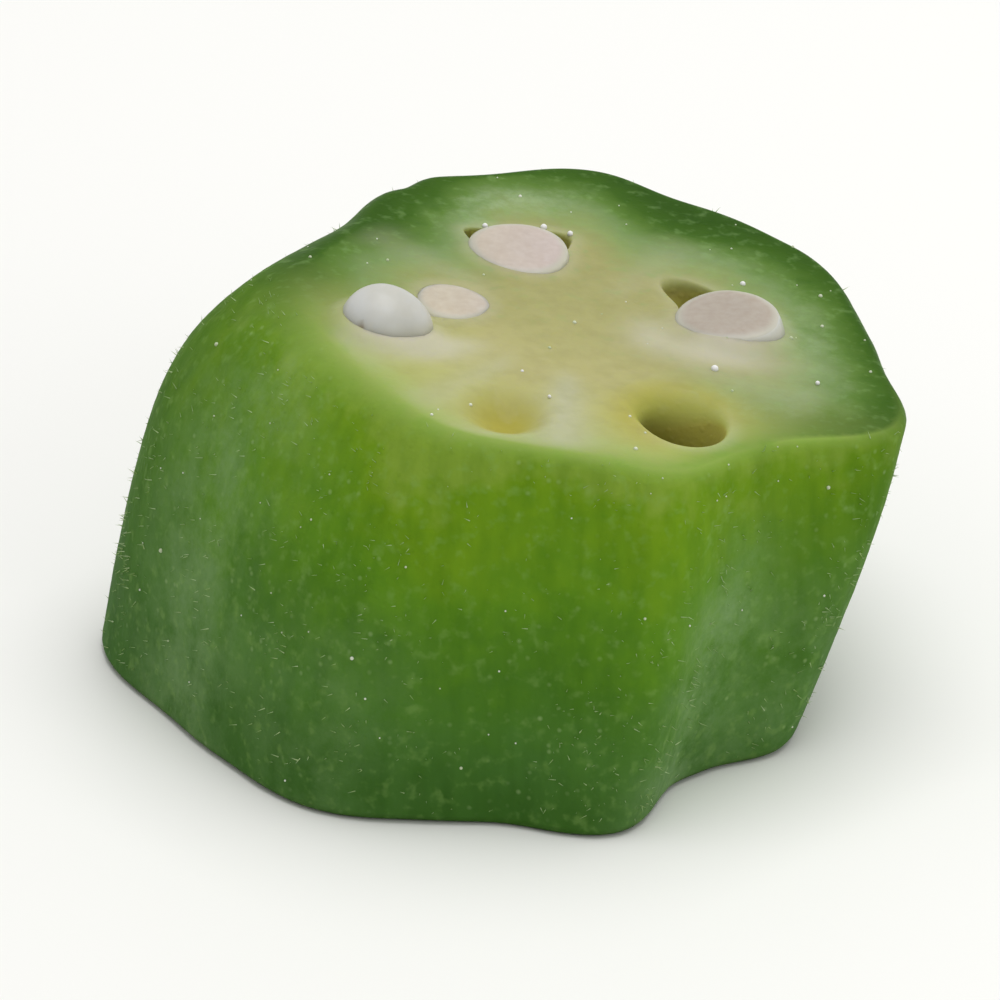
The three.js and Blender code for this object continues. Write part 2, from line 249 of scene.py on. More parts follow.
# Unevenness: height, size and seed, and on the skin how much it is drawn out upwards
SKIN_LUMPS = [(0.06, 2.6, 0, 0.5), (0.02, 0.7, 5, 0.3), (0.012, 0.33, 9, 1)]
CUT_SPONGE = [(0.035, 0.9, 2), (0.018, 0.4, 4)]
CUT_WAVES = [(0.1, 3.5, 6)]
PITH_SPONGE = 0.35  # how much of the sponge shows at the rim, where the wall is firm
FIRM_WALL = (2.2, 3.4)  # between which distances from the rim the wall gives way to pith
NO_MOUTH_NEAR = 9.0
ROOF_RISE = 0.25
ROOF_ROWS = 8
FACE_SPACING = 0.19  # between the points of a cut face
SKIN_COLUMNS = 420
SKIN_ROWS = 64
EDGE_ROWS = 6
EDGE_TURNS = [step / EDGE_ROWS * math.pi / 2 for step in range(EDGE_ROWS + 1)]  # round an edge, from the cut
CHAMBER_COLUMNS = 84
CHAMBER_ROWS = 44


def ribbed_distance(angle, reach):
    """How far the skin is from the middle, and how far up a ridge each point is.

    reach is 0 at the lower cut and 1 at the upper.
    """
    angle, reach = np.broadcast_arrays(np.asarray(angle, float), np.asarray(reach, float))
    found, ridged = np.zeros(angle.shape), np.zeros(angle.shape)
    for index, (base, top) in enumerate(RIBS):
        next_base, next_top = RIBS[(index + 1) % len(RIBS)]
        start, here = [low + (high - low) * reach for low, high in zip(base, top)]
        end, there = [low + (high - low) * reach for low, high in zip(next_base, next_top)]
        span, turn = (end - start) % 360, (angle - start) % 360
        ridge, flute, share = (here, there, turn / span) if index % 2 == 0 else (there, here, 1 - turn / span)
        nearness = 0.5 + 0.5 * np.cos(np.pi * share)
        found = np.where(turn < span, flute + (ridge - flute) * nearness ** RIDGE_SHARPNESS, found)
        ridged = np.where(turn < span, nearness, ridged)
    return found, ridged


def cut_height(x):
    """The height of the upper cut over a point at x from the upper cut's middle."""
    return SLICE_HEIGHT - TOP_CUT_FALL * x


def skin_point(angle, share, inset=0.0):
    """Points of the skin at angles in degrees and a share of the height, with how far up a ridge each is."""
    turn = np.radians(angle)
    power = TAPER_STEADY + TAPER_SHOULDER * np.maximum(0, np.cos(turn - math.radians(SHOULDER_ANGLE))) ** 2
    top, _ = ribbed_distance(angle, 1.0)
    distance, ridged = ribbed_distance(angle, share ** power)
    distance = distance + SIDE_SWELL * np.sin(np.pi * share) - inset
    x = AXIS_LEAN * share + distance * np.cos(turn)
    z = share * cut_height((top - inset) * np.cos(turn))
    return np.stack(np.broadcast_arrays(x, distance * np.sin(turn), z), -1), ridged


def inner_point(angle, distance, across, share):
    """A point inside the pod, at its angle and distance at the upper cut and at a share of the height."""
    spread = CHAMBER_SPREAD + (1 - CHAMBER_SPREAD) * share
    turn = math.radians(angle)
    x = distance * math.cos(turn) - across * math.sin(turn)
    y = distance * math.sin(turn) + across * math.cos(turn)
    places = np.broadcast_arrays(AXIS_LEAN * share + spread * x, spread * y, share * cut_height(x))
    return np.stack(places, -1)


def seed_middle(chamber, depth, distance, across):
    """The middle of a seed, and the share of the slice's height that it is at."""
    angle = CHAMBERS[chamber]["angle"]
    share = 1 - depth / cut_height(distance * math.cos(math.radians(angle)))
    return inner_point(angle, distance, across, share), share


def smooth_step(low, high, value):
    """0 below low, 1 above high and a soft change between them."""
    share = np.clip((np.asarray(value, float) - low) / (high - low), 0, 1)
    return share * share * (3 - 2 * share)


def hump(angle, direction, half_angle):
    """1 in a direction, 0.37 at the half angle from it and 0 well away from it. Angles are in degrees."""
    away = (np.asarray(angle, float) - direction + 180) % 360 - 180
    return np.exp(-(away / half_angle) ** 2)


RAY_STEPS = np.linspace(0, 5, 101)


def last_inside(depth_inside):
    """How far rays run before they leave a shape for good, or 0, from their depth inside it at RAY_STEPS."""
    inside = depth_inside > 0
    last = np.minimum(len(RAY_STEPS) - 1 - np.argmax(inside[:, ::-1], axis=1), len(RAY_STEPS) - 2)
    rows = np.arange(len(inside))
    here, after = depth_inside[rows, last], depth_inside[rows, last + 1]
    found = RAY_STEPS[last] + (RAY_STEPS[1] - RAY_STEPS[0]) * here / np.maximum(here - after, 1e-9)
    return np.where(inside.any(axis=1), found, 0.0)


def seeds_reach(name, starts, ways):
    """How far a chamber's seeds reach along level rays that start at points of its axis."""
    reach = np.zeros(len(ways))
    points = starts[:, None] + RAY_STEPS[None, :, None] * np.column_stack([ways, 0 * ways[:, 0]])[:, None]
    turn = math.radians(CHAMBERS[name]["angle"])
    for depth, distance, across, length, width, _ in SEEDS[name]:
        away = points - seed_middle(name, depth, distance, across)[0]
        along = (away[..., 0] * math.cos(turn) + away[..., 1] * math.sin(turn)) / (length / 2)
        beside = away[..., 1] * math.cos(turn) - away[..., 0] * math.sin(turn)
        radius = width / 2 * np.sqrt(np.maximum(1 - along ** 2, 0)) * (1 + SEED_BLUNTNESS * along)
        reach = np.maximum(reach, last_inside(radius - np.hypot(beside, away[..., 2])))
    soft = sum(np.roll(reach, step) for step in (-2, -1, 0, 1, 2)) / 5
    return np.maximum(reach, soft)


def chamber_ring(name, share, lip=(0.0, 0.0, 0), turned_out=0.0):
    """A chamber's outline at a share of the height, its lip's radius and how far it climbs its seeds.

    turned_out, 0 to 1, is how far the outline has opened into the lip.
    """
    chamber = CHAMBERS[name]
    turn = np.linspace(0, 2 * np.pi, CHAMBER_COLUMNS, endpoint=False)
    across = chamber["across"] * np.sin(turn) * (1 + CHAMBER_FLARE * np.cos(turn))
    ring = inner_point(chamber["angle"], chamber["distance"] + chamber["deep"] * np.cos(turn), across, share)
    middle = inner_point(chamber["angle"], chamber["distance"], 0 * turn, share)
    offset = ring[:, :2] - middle[:, :2]
    reach = np.linalg.norm(offset, axis=1)
    ways = offset / reach[:, None]
    direction = np.degrees(np.arctan2(ways[:, 1], ways[:, 0]))
    below = (1 - share) * SLICE_HEIGHT + 0 * turn
    collar = 1 - smooth_step(*COLLAR_DEPTH, below)
    slit, rise = 0 * turn, 0 * turn
    if "slits" in chamber:
        slit = sum((gap * hump(direction, way, half) for way, half, gap in chamber["slits"]), 0 * turn)
        least, more, way, half = chamber["rise"]
        rise = (1 - smooth_step(0.0, 0.1, slit)) * (least + more * hump(direction, way, half))
        rise = rise * np.exp(-below / CLIMB_FADE)
    seeds = seeds_reach(name, np.column_stack([middle[:, :2], ring[:, 2] + rise]), ways)
    reach = np.maximum(reach, seeds + SEED_CLEARANCE)
    if "slits" in chamber:
        cling = CLING * (1 - smooth_step(0.0, 0.1, slit))
        reach = reach + collar * (np.maximum(seeds, 2 * CLING) + slit - cling - reach)
    if "mouth" in chamber:
        mouth_middle, halves = np.array(chamber["mouth"])
        starts = middle[:, :2] - mouth_middle - np.column_stack([AXIS_LEAN * share + 0 * turn, 0 * turn])
        rays = (starts[:, None] + RAY_STEPS[None, :, None] * ways[:, None]) / halves
        mouth = last_inside(1 - np.linalg.norm(rays, axis=2))
        reach = reach + (1 - smooth_step(*MOUTH_DEPTH, below)) * (mouth - reach)
    smallest, largest, widest_way = lip
    radius = smallest + (largest - smallest) * (0.5 + 0.5 * np.cos(np.radians(direction - widest_way))) ** 2
    radius = radius + SLIT_LIP * slit * (smallest > 0)
    reach = reach + radius * turned_out
    spread = CHAMBER_SPREAD + (1 - CHAMBER_SPREAD) * share
    flat = middle[:, :2] + ways * reach[:, None]
    height = share * cut_height((flat[:, 0] - AXIS_LEAN * share) / spread) + rise
    return np.column_stack([flat, height]), radius, rise


def grain(points, size, seed=0.0):
    """Smooth noise from -1 to 1 at points in millimetres, with lumps of about that size."""
    return np.array([noise.noise(Vector(p) / size + Vector((seed, 7.3 * seed, 3.1))) for p in points])


def uneven(points, lumps):
    """The unevenness of points, as the sum of layers with a height, a size and a seed each."""
    return sum(height * grain(points, across, seed) for height, across, seed in lumps)


def nearest(points, loop):
    """The distance of each point from a closely spaced loop, seen from above."""
    gaps = np.linalg.norm(points[:, None, :2] - loop[None, :, :2], axis=2)
    return gaps.min(axis=1)


def is_inside(points, loop):
    """Whether each point is inside a closed loop, seen from above."""
    x, y = points[:, 0][:, None], points[:, 1][:, None]
    ends = np.roll(loop, -1, axis=0)
    crosses = (loop[:, 1] > y) != (ends[:, 1] > y)
    rise = np.where(ends[:, 1] == loop[:, 1], 1e-9, ends[:, 1] - loop[:, 1])
    at = loop[:, 0] + (y - loop[:, 1]) * (ends[:, 0] - loop[:, 0]) / rise
    return (crosses & (x < at)).sum(axis=1) % 2 == 1


class Patchwork:
    """Points in millimetres, faces and one value a point for each attribute, gathered patch by patch."""

    def __init__(self, names):
        self.points, self.faces = [], []
        self.values = {name: [] for name in names}
        self.count = 0

    def add(self, points, faces, values):
        """Adds a patch. A value that isn't given is 0."""
        self.points.append(points)
        self.faces += [tuple(int(i) + self.count for i in face) for face in faces]
        for name, gathered in self.values.items():
            gathered.append(np.broadcast_to(np.asarray(values.get(name, 0.0), float), (len(points),)))
        self.count += len(points)

    def add_rows(self, rows, values, flipped=False):
        """Joins closed rings of points, one after the other. Values are given ring by ring."""
        count = len(rows[0])
        faces = []
        for start in range(0, (len(rows) - 1) * count, count):
            for step in range(count):
                after = (step + 1) % count
                face = (start + step, start + after, start + count + after, start + count + step)
                faces.append(face[::-1] if flipped else face)
        self.add(np.concatenate(rows), faces, {
            name: np.concatenate([np.broadcast_to(ring.get(name, 0.0), count) for ring in values])
            for name in self.values})

    def mesh(self, name, origin=(0, 0, 0)):
        """One smooth mesh in metres. The patches' shared points are merged, and their values averaged."""
        points = np.concatenate(self.points)
        _, first, merged = np.unique(points.round(4), axis=0, return_index=True, return_inverse=True)
        merged = merged.ravel()
        faces = [list(dict.fromkeys(merged[list(face)].tolist())) for face in self.faces]
        faces = [face for face in faces if len(face) > 2]
        made = bpy.data.meshes.new(name)
        made.from_pydata(((points[first] + origin) * MM).tolist(), [], faces)
        for attribute, gathered in self.values.items():
            average = np.bincount(merged, np.concatenate(gathered)) / np.bincount(merged)
            made.attributes.new(attribute, "FLOAT", "POINT").data.foreach_set("value", average)
        made.polygons.foreach_set("use_smooth", [True] * len(made.polygons))
        return made


def cut_face(outline, openings, height_at, relief):
    """Fills a knife cut between its outline and the chambers' mouths with small triangles, in relief."""
    low, high = outline.min(axis=0), outline.max(axis=0)
    rows = np.arange(low[1], high[1], FACE_SPACING * math.sqrt(3) / 2)
    columns = np.arange(low[0], high[0], FACE_SPACING)
    field = np.array([(x + (i % 2) * FACE_SPACING / 2, y) for i, y in enumerate(rows) for x in columns])
    field += np.random.default_rng(11).uniform(-0.2, 0.2, field.shape) * FACE_SPACING
    kept = is_inside(field, outline) & (nearest(field, outline) > 0.6 * FACE_SPACING)
    for opening in openings:
        kept &= ~is_inside(field, opening) & (nearest(field, opening) > 0.5 * FACE_SPACING)
    loops = [outline] + openings
    points = np.concatenate([loop[:, :2] for loop in loops] + [field[kept]])
    edges, start = [], 0
    for loop in loops:
        edges += [(start + i, start + (i + 1) % len(loop)) for i in range(len(loop))]
        start += len(loop)
    found = geometry.delaunay_2d_cdt([Vector(p) for p in points], edges, [], 0, 1e-7)
    points, faces = np.array([tuple(p) for p in found[0]]), np.array(found[2])
    middles = points[faces].mean(axis=1)
    wanted = is_inside(middles, outline)
    for opening in openings:
        wanted &= ~is_inside(middles, opening)
    faces = faces[wanted]
    side_a, side_b = points[faces[:, 1]] - points[faces[:, 0]], points[faces[:, 2]] - points[faces[:, 0]]
    clockwise = side_a[:, 0] * side_b[:, 1] - side_a[:, 1] * side_b[:, 0] < 0
    faces[clockwise] = faces[clockwise][:, ::-1]
    edge_distance = np.min([nearest(points, loop) for loop in loops], axis=0)
    raised = np.column_stack([points, height_at(points)])
    raised[:, 2] += relief(raised) * smooth_step(0.0, 0.5, edge_distance)
    for loop in loops:
        raised[np.linalg.norm(points[None] - loop[:, None, :2], axis=2).argmin(axis=1)] = loop
    return raised, faces


PATCH_VALUES = (
    "cut", "rim", "pore", "below", "hollow", "dish", "ridge", "haze", "septum", "pale_rim", "froth", "milk")
slice_patches = Patchwork(PATCH_VALUES)

angles = np.linspace(0, 360, SKIN_COLUMNS, endpoint=False)
cut_edges, cut_holes = {}, {}  # by share of the height: the skin's edge, the chambers' outlines and climbs
for share in (0.0, 1.0):
    open_here = [name for name in CHAMBERS if share == 0 or name != ROOFED_CHAMBER]
    cut_edges[share] = skin_point(angles, share)[0]
    cut_holes[share] = {name: chamber_ring(name, share)[::2] for name in open_here}


def mouth_at(points, share):
    """The distance of each point from the nearest chamber's mouth, and how far the pith climbs there."""
    near, rises = np.full(len(points), NO_MOUTH_NEAR), np.zeros(len(points))
    for hole, rise in cut_holes[share].values():
        gaps = np.linalg.norm(points[:, None, :2] - hole[None, :, :2], axis=2)
        rises = np.where(gaps.min(axis=1) < near, rise[gaps.argmin(axis=1)], rises)
        near = np.minimum(near, gaps.min(axis=1))
    return near, rises


def pale_side(direction):
    """1 on the side where the rim is pale, 0 on the side where it is dark green. On the skin, 1 is the side
    with painted light.
    """
    return smooth_step(*PALE_RIM_TURN, np.cos(np.radians(direction - PALE_RIM_WAY)))


whole_height = cut_height(ribbed_distance(angles, 1.0)[0] * np.cos(np.radians(angles)))
top_edge = CUT_EDGE + (SHOULDER_EDGE - CUT_EDGE) * hump(angles, *EDGE_SHOULDER)
rings = []  # share of the height, inset and how far the ring has turned into the cut
for turn in EDGE_TURNS:
    share = CUT_EDGE * (1 - math.cos(turn)) / whole_height
    rings.append((share, CUT_EDGE * (1 - math.sin(turn)), math.cos(turn)))
low_share, high_share = CUT_EDGE / whole_height, 1 - top_edge / whole_height
for row in range(1, SKIN_ROWS):
    rings.append((low_share + (high_share - low_share) * row / SKIN_ROWS, 0.0, 0.0))
for turn in reversed(EDGE_TURNS):
    share = 1 - top_edge * (1 - math.cos(turn)) / whole_height
    rings.append((share, top_edge * (1 - math.sin(turn)), math.cos(turn)))
skin_rows, skin_values = [], []
for row, (share, inset, turned) in enumerate(rings):
    ring, ridged = skin_point(angles, share, inset)
    below = (1 - share) * whole_height
    # The haze is bloom and, in part, a painted reflection of the light on the skin.
    haze = sum(strength * hump(angles, low_way + (way - low_way) * share, half)
               * smooth_step(begins - BLOOM_AND_REFLECTION_FADE, begins + BLOOM_AND_REFLECTION_FADE, below + 0.01)
               for way, low_way, half, strength, begins in HAZY_PLACES)
    pore, _ = mouth_at(ring, 1.0 if row > len(rings) / 2 else 0.0)
    # pale_rim on the skin marks where painted light goes, and where painted shade goes instead.
    sunny_corner = hump(angles, *SUNNY_CORNER[:2]) * np.exp(-below / SUNNY_CORNER[2])
    pale_rim = np.maximum(pale_side(angles), sunny_corner) * (1 - smooth_step(*SUNNY_END, below))
    drawn_up = PALE_EDGE[2] * hump(angles, *PALE_EDGE[:2]) * smooth_step(*PALE_EDGE_SHARE, share)
    skin_rows.append(ring)
    skin_values.append({
        "cut": turned, "rim": inset, "pore": pore, "below": below - drawn_up, "ridge": ridged, "haze": haze,
        "pale_rim": pale_rim})
skin_points = np.concatenate(skin_rows)
outwards = np.column_stack([np.cos(np.radians(angles)), np.sin(np.radians(angles)), 0 * angles])
lumps = sum(uneven(skin_points * [1, 1, stretch], [layer]) for *layer, stretch in SKIN_LUMPS)
lumps = lumps * (1 - np.repeat([values["cut"] for values in skin_values], SKIN_COLUMNS))
skin_points = skin_points + np.tile(outwards, (len(skin_rows), 1)) * lumps[:, None]
slice_patches.add_rows(np.split(skin_points, len(skin_rows)), skin_values)

dish_shape = CHAMBERS[ROOFED_CHAMBER]
dish_middle = inner_point(dish_shape["angle"], dish_shape["distance"], 0.0, 1.0)


def dished(points):
    """How deep in the dish points of the upper cut are, from 0 to 1."""
    turn = math.radians(dish_shape["angle"])
    away = points[:, :2] - dish_middle[:2]
    outward = away @ [math.cos(turn), math.sin(turn)] / dish_shape["deep"]
    sideways = away @ [-math.sin(turn), math.cos(turn)] / dish_shape["across"]
    return 1 - smooth_step(*DISH_EDGE, np.hypot(outward, sideways))


def cut_values(points, share):
    """What the flesh's material reads at points of a knife cut and of the lips in it."""
    away = points[:, :2] - [AXIS_LEAN * share, 0]
    out = np.hypot(away[:, 0], away[:, 1])
    direction = np.degrees(np.arctan2(away[:, 1], away[:, 0]))
    from_rim = nearest(points, cut_edges[share])
    rim = from_rim + sum(shift * hump(direction, way, half) for way, half, shift in BAND_SHIFTS)
    septum = sum(strength * hump(direction, way, half) for way, half, strength in SEPTA)
    septum = septum * smooth_step(*SEPTA_START, out) * (1 - smooth_step(*SEPTA_END, out))
    mouth_x, mouth_y = (away - CHAMBERS["near_right"]["mouth"][0]).T
    lip_side = 0.5 + 0.5 * np.cos(np.arctan2(mouth_y, mouth_x) - math.radians(YELLOW_LIP_WAY))
    from_lip = nearest(points, cut_holes[share]["near_right"][0])
    yellow_lip_and_painted_light = lip_side * (1 - smooth_step(*YELLOW_LIP, from_lip))
    froth = sum(strength * hump(direction, way, half) for way, half, strength in FROTHY_PLACES)
    froth = froth * smooth_step(*FROTH_OFF_RIM, from_rim) * smooth_step(*FROTH_START, rim)
    froth = froth * (1 - smooth_step(*FROTH_END, rim))
    milk = sum(strength * np.exp(-((away[:, 0] - x) / half_x) ** 2 - ((away[:, 1] - y) / half_y) ** 2)
               for x, y, half_x, half_y, strength in SMEARS)
    pale_rim = 0.5 + (pale_side(direction) - 0.5) * smooth_step(0.0, PALE_RIM_INNER, out)
    return {"cut": 1.0, "rim": rim, "pore": mouth_at(points, share)[0], "below": (1 - share) * SLICE_HEIGHT,
            "septum": septum * share, "dish": np.maximum(dished(points), yellow_lip_and_painted_light) * share,
            "pale_rim": pale_rim * share, "froth": froth * share, "milk": np.minimum(milk, 1) * share}


def upper_height(points):
    near, rises = mouth_at(points, 1.0)
    return cut_height(points[:, 0] - AXIS_LEAN) + rises * np.exp(-(near / MENISCUS) ** 2)


def upper_relief(points):
    pith = smooth_step(*FIRM_WALL, nearest(points, cut_edges[1.0]))
    sponge = uneven(points, CUT_SPONGE) * (PITH_SPONGE + (1 - PITH_SPONGE) * pith)
    return sponge + uneven(points, CUT_WAVES) * pith - DISH_DEPTH * dished(points)


def lower_height(points):
    return np.zeros(len(points))


def lower_relief(points):
    return np.abs(uneven(points, CUT_SPONGE)) + np.abs(uneven(points, CUT_WAVES))


for share, outline, height_at, relief in (
        (1.0, skin_rows[-1], upper_height, upper_relief), (0.0, skin_rows[0], lower_height, lower_relief)):
    lips = {name: CHAMBERS[name]["lip"] if share else LOWER_LIP for name in cut_holes[share]}
    mouths = [chamber_ring(name, share, lip, 1.0)[0] for name, lip in lips.items()]
    points, faces = cut_face(outline, mouths, height_at, relief)
    slice_patches.add(points, faces if share else faces[:, ::-1], cut_values(points, share))

for name, chamber in CHAMBERS.items():
    roofed = name == ROOFED_CHAMBER
    low_radius = chamber_ring(name, 0.0, LOWER_LIP)[1]
    top_radius = 0 * low_radius if roofed else chamber_ring(name, 1.0, chamber["lip"])[1]
    wall_rows, facings = [], []  # each ring's points, and how far it faces the way the cut does
    for turn in EDGE_TURNS[:-1]:
        share = low_radius * (1 - math.cos(turn)) / SLICE_HEIGHT
        wall_rows.append(chamber_ring(name, share, LOWER_LIP, 1 - math.sin(turn))[0])
        facings.append(math.cos(turn))
    low, high = low_radius / SLICE_HEIGHT, (ROOF_SHARE if roofed else 1.0) - top_radius / SLICE_HEIGHT
    for row in range(CHAMBER_ROWS + 1):
        eased = 1 - (1 - row / CHAMBER_ROWS) ** COLLAR_CROWDING
        wall_rows.append(chamber_ring(name, low + (high - low) * eased)[0])
        facings.append(0.0)
    if roofed:
        middle = wall_rows[-1].mean(axis=0) + [0, 0, ROOF_RISE]
        under_roof = wall_rows[-1]
        for step in range(1, ROOF_ROWS + 1):
            turn = step / ROOF_ROWS * math.pi / 2
            drawn_in = [math.cos(turn), math.cos(turn), 1 - math.sin(turn)]
            wall_rows.append(middle + (under_roof - middle) * drawn_in)
            facings.append(0.0)
    else:
        for turn in EDGE_TURNS[-2::-1]:
            share = 1 - top_radius * (1 - math.cos(turn)) / SLICE_HEIGHT
            wall_rows.append(chamber_ring(name, share, chamber["lip"], 1 - math.sin(turn))[0])
            facings.append(math.cos(turn))
    wall_values = []
    for row, (ring, facing) in enumerate(zip(wall_rows, facings)):
        read_here = cut_values(ring, 1.0 if row > EDGE_ROWS and not roofed else 0.0)
        below = wall_rows[-1][:, 2].mean() - ring[:, 2].mean()
        wall_values.append({**read_here, "cut": facing, "hollow": 1 - facing, "below": below})
    slice_patches.add_rows(wall_rows, wall_values, flipped=True)

slice_mesh = slice_patches.mesh("pod_slice", MIDDLE)
pod_slice = add_object("pod_slice", slice_mesh)

# Fresh okra flesh: moist plant tissue that light enters a little. The skin is matt, with a thin bloom and
# pale specks where its hairs stand; part of the bloom is a painted reflection. The skin's colour also holds
# painted light, brighter under the upper cut and on the pale rim's side, and painted shade, darker further
# down and on the other side. The cut has a film of juice, so it is glossier, and it is green at the wall and
# cream inside.
flesh, tree = new_material("okra_flesh")
place = add_node(tree, "ShaderNodeTexCoord").outputs["Object"]
read = {name: add_node(tree, "ShaderNodeAttribute", {"attribute_name": name}).outputs["Fac"]
        for name in PATCH_VALUES}


def size(millimetres):
    """The scale of a texture whose features are that large."""
    return 1 / (millimetres * MM)


# Its patterns, with their size in millimetres, detail and roughness
broad, mottle, grainy, speck_noise, haze_noise, froth_noise = [
    add_node(tree, "ShaderNodeTexNoise", links={
        "Vector": place, "Scale": size(across), "Detail": detail, "Roughness": roughness})
    for across, detail, roughness in (
        (4.0, 3.0, 0.5), (0.8, 5.0, 0.5), (0.22, 3.0, 0.5), (0.45, 2.0, 0.5), (2.4, 7.0, 0.72),
        (1.1, 6.0, 0.7))]
streaks_place = add_node(tree, "ShaderNodeMapping", links={"Vector": place, "Scale": (1, 1, 0.14)})
streaks = add_node(tree, "ShaderNodeTexNoise", links={
    "Vector": streaks_place, "Scale": size(0.7), "Detail": 4.0})
hair_bases = add_node(tree, "ShaderNodeTexVoronoi", links={"Vector": place, "Scale": size(0.33)})
chance = add_node(tree, "ShaderNodeSeparateColor", links={"Color": hair_bases.outputs["Color"]})
shade = add_node(tree, "ShaderNodeMath", {"operation": "MULTIPLY_ADD"}, {0: broad, 1: 6.5, 2: -3.2})
mottled = add_node(tree, "ShaderNodeMath", {"operation": "MULTIPLY_ADD"}, {0: mottle, 1: 4.0, 2: -2.0})
shaded = add_node(tree, "ShaderNodeMath", {"operation": "ADD"}, {0: shade, 1: mottled})
depth = add_node(tree, "ShaderNodeMath", {"operation": "ADD"}, {0: read["below"], 1: shaded})
rim_wobble = add_node(tree, "ShaderNodeMath", {"operation": "MULTIPLY_ADD"}, {0: mottle, 1: 1.3, 2: -0.65})
rim_depth = add_node(tree, "ShaderNodeMath", {"operation": "ADD"}, {0: read["rim"], 1: rim_wobble})

# Where each tint shows: what it goes by, between which two values of that, and the tint's share at each
depth_share, rim_share, depth_shade_share, streak_share, haze_patch, base_dot, base_strength, base_patch, spots = [
    add_node(tree, "ShaderNodeMapRange", links={
        "Value": value, "From Min": low, "From Max": high, "To Min": at_low, "To Max": at_high})
    for value, low, high, at_low, at_high in (
        (depth, 0.0, 13.0, 0.0, 1.0), (rim_depth, 0.0, 6.0, 0.0, 1.0), (read["below"], 0.0, 6.0, 0.0, 1.0),
        (streaks, 0.4, 0.72, 0.0, 0.3), (haze_noise, 0.38, 0.64, 0.12, 0.72),
        (hair_bases.outputs["Distance"], 0.1, 0.34, 1.0, 0.0), (chance.outputs["Red"], 0.6, 1.0, 0.0, 0.42),
        (broad, 0.42, 0.6, 0.0, 1.0), (mottle, 0.42, 0.75, 0.0, 0.25))]
speck_share, lining_share, froth_patch = [
    add_node(tree, "ShaderNodeMapRange", {"interpolation_type": "SMOOTHSTEP"}, {
        "Value": value, "From Min": low, "From Max": high, "To Min": at_low, "To Max": at_high})
    for value, low, high, at_low, at_high in (
        (speck_noise, 0.52, 0.78, 0.0, 0.3), (read["pore"], 0.0, 0.8, 0.3, 0.0),
        (froth_noise, 0.38, 0.68, 0.05, 0.5))]
dark_side = add_node(tree, "ShaderNodeMapRange", links={
    "Value": read["pale_rim"], "To Min": 1.0, "To Max": 0.0})
dotted = add_node(tree, "ShaderNodeMath", {"operation": "MULTIPLY"}, {0: base_dot, 1: base_strength})
haze_share, base_share, septum_share, froth_share, cut_speck, milk_share = [
    add_node(tree, "ShaderNodeMath", {"operation": "MULTIPLY"}, {0: first, 1: second})
    for first, second in (
        (read["haze"], haze_patch), (dotted, base_patch), (read["septum"], 0.75),
        (read["froth"], froth_patch), (speck_share, dark_side), (read["milk"], 0.9))]

# The skin, from under the upper cut down to the lower one: painted light makes it brighter at the top and on
# the pale rim's side, and painted shade darker further down and on the other side. Streaks, bloom with a
# painted reflection, specks and hair bases lie over it
painted_lit_skin = add_node(tree, "ShaderNodeValToRGB", {"stops": [
    (0.0, "#82a038"), (0.1, "#70961c"), (0.36, "#5d8a1f"), (0.6, "#4b7722"), (0.85, "#4b762f"),
    (1.0, "#547f3b")]}, {"Fac": depth_share})
painted_shade_skin = add_node(tree, "ShaderNodeValToRGB", {"stops": [
    (0.0, "#43681a"), (0.3, "#40661d"), (0.7, "#3e6622"), (1.0, "#3f6827")]}, {"Fac": depth_share})
skin_colour = add_node(tree, "ShaderNodeMix", {"data_type": "RGBA"}, {
    "Factor": read["pale_rim"], "A": painted_shade_skin, "B": painted_lit_skin})
for share, over, blend in (
        (streak_share, "#86b06a", "MULTIPLY"), (haze_share, "#7f9f69", "MIX"),
        (speck_share, "#84a85a", "MIX"), (base_share, "#a3bd80", "MIX")):
    skin_colour = add_node(tree, "ShaderNodeMix", {"data_type": "RGBA", "blend_type": blend}, {
        "Factor": share, "A": skin_colour, "B": over})

# The cut, by the distance from its rim: a dark green band and then watery wall on one side, soft on the
# other. Over it lie the chambers' linings, the partitions, dish and the open mouth's yellow lip, which is
# partly painted light, spots, froth, specks and the seeds' milk.
dark_wall = add_node(tree, "ShaderNodeValToRGB", {"stops": [
    (0.0, "#2f5014"), (0.2, "#3b5d19"), (0.36, "#55752f"), (0.52, "#708952"), (0.68, "#83945a"),
    (0.85, "#919660"), (1.0, "#9c9a66")]}, {"Fac": rim_share})
pale_wall = add_node(tree, "ShaderNodeValToRGB", {"stops": [
    (0.0, "#7a9741"), (0.08, "#899f50"), (0.2, "#9ca962"), (0.35, "#a6aa69"), (0.55, "#aaaa6b"),
    (1.0, "#a9a571")]}, {"Fac": rim_share})
cut_colour = add_node(tree, "ShaderNodeMix", {"data_type": "RGBA"}, {
    "Factor": read["pale_rim"], "A": dark_wall, "B": pale_wall})
for share, over, blend in (
        (lining_share, "#bdbaa0", "MIX"), (septum_share, "#afb095", "MIX"), (read["dish"], "#a39c45", "MIX"),
        (spots, "#cdd0a6", "MULTIPLY"), (froth_share, "#9fb38b", "MIX"), (cut_speck, "#7f9f62", "MIX"),
        (milk_share, "#bfbcaa", "MIX")):
    cut_colour = add_node(tree, "ShaderNodeMix", {"data_type": "RGBA", "blend_type": blend}, {
        "Factor": share, "A": cut_colour, "B": over})
skin_or_cut = add_node(tree, "ShaderNodeMix", {"data_type": "RGBA"}, {
    "Factor": read["cut"], "A": skin_colour, "B": cut_colour})

# The chambers' lining, with painted shade that makes it darker further down
chamber_colour_and_shade = add_node(tree, "ShaderNodeValToRGB", {"stops": [
    (0.0, "#b9b46a"), (0.12, "#bdb85c"), (0.35, "#a39e42"), (1.0, "#8f8a38")]}, {"Fac": depth_shade_share})
flesh_colour = add_node(tree, "ShaderNodeMix", {"data_type": "RGBA"}, {
    "Factor": read["hollow"], "A": skin_or_cut, "B": chamber_colour_and_shade})

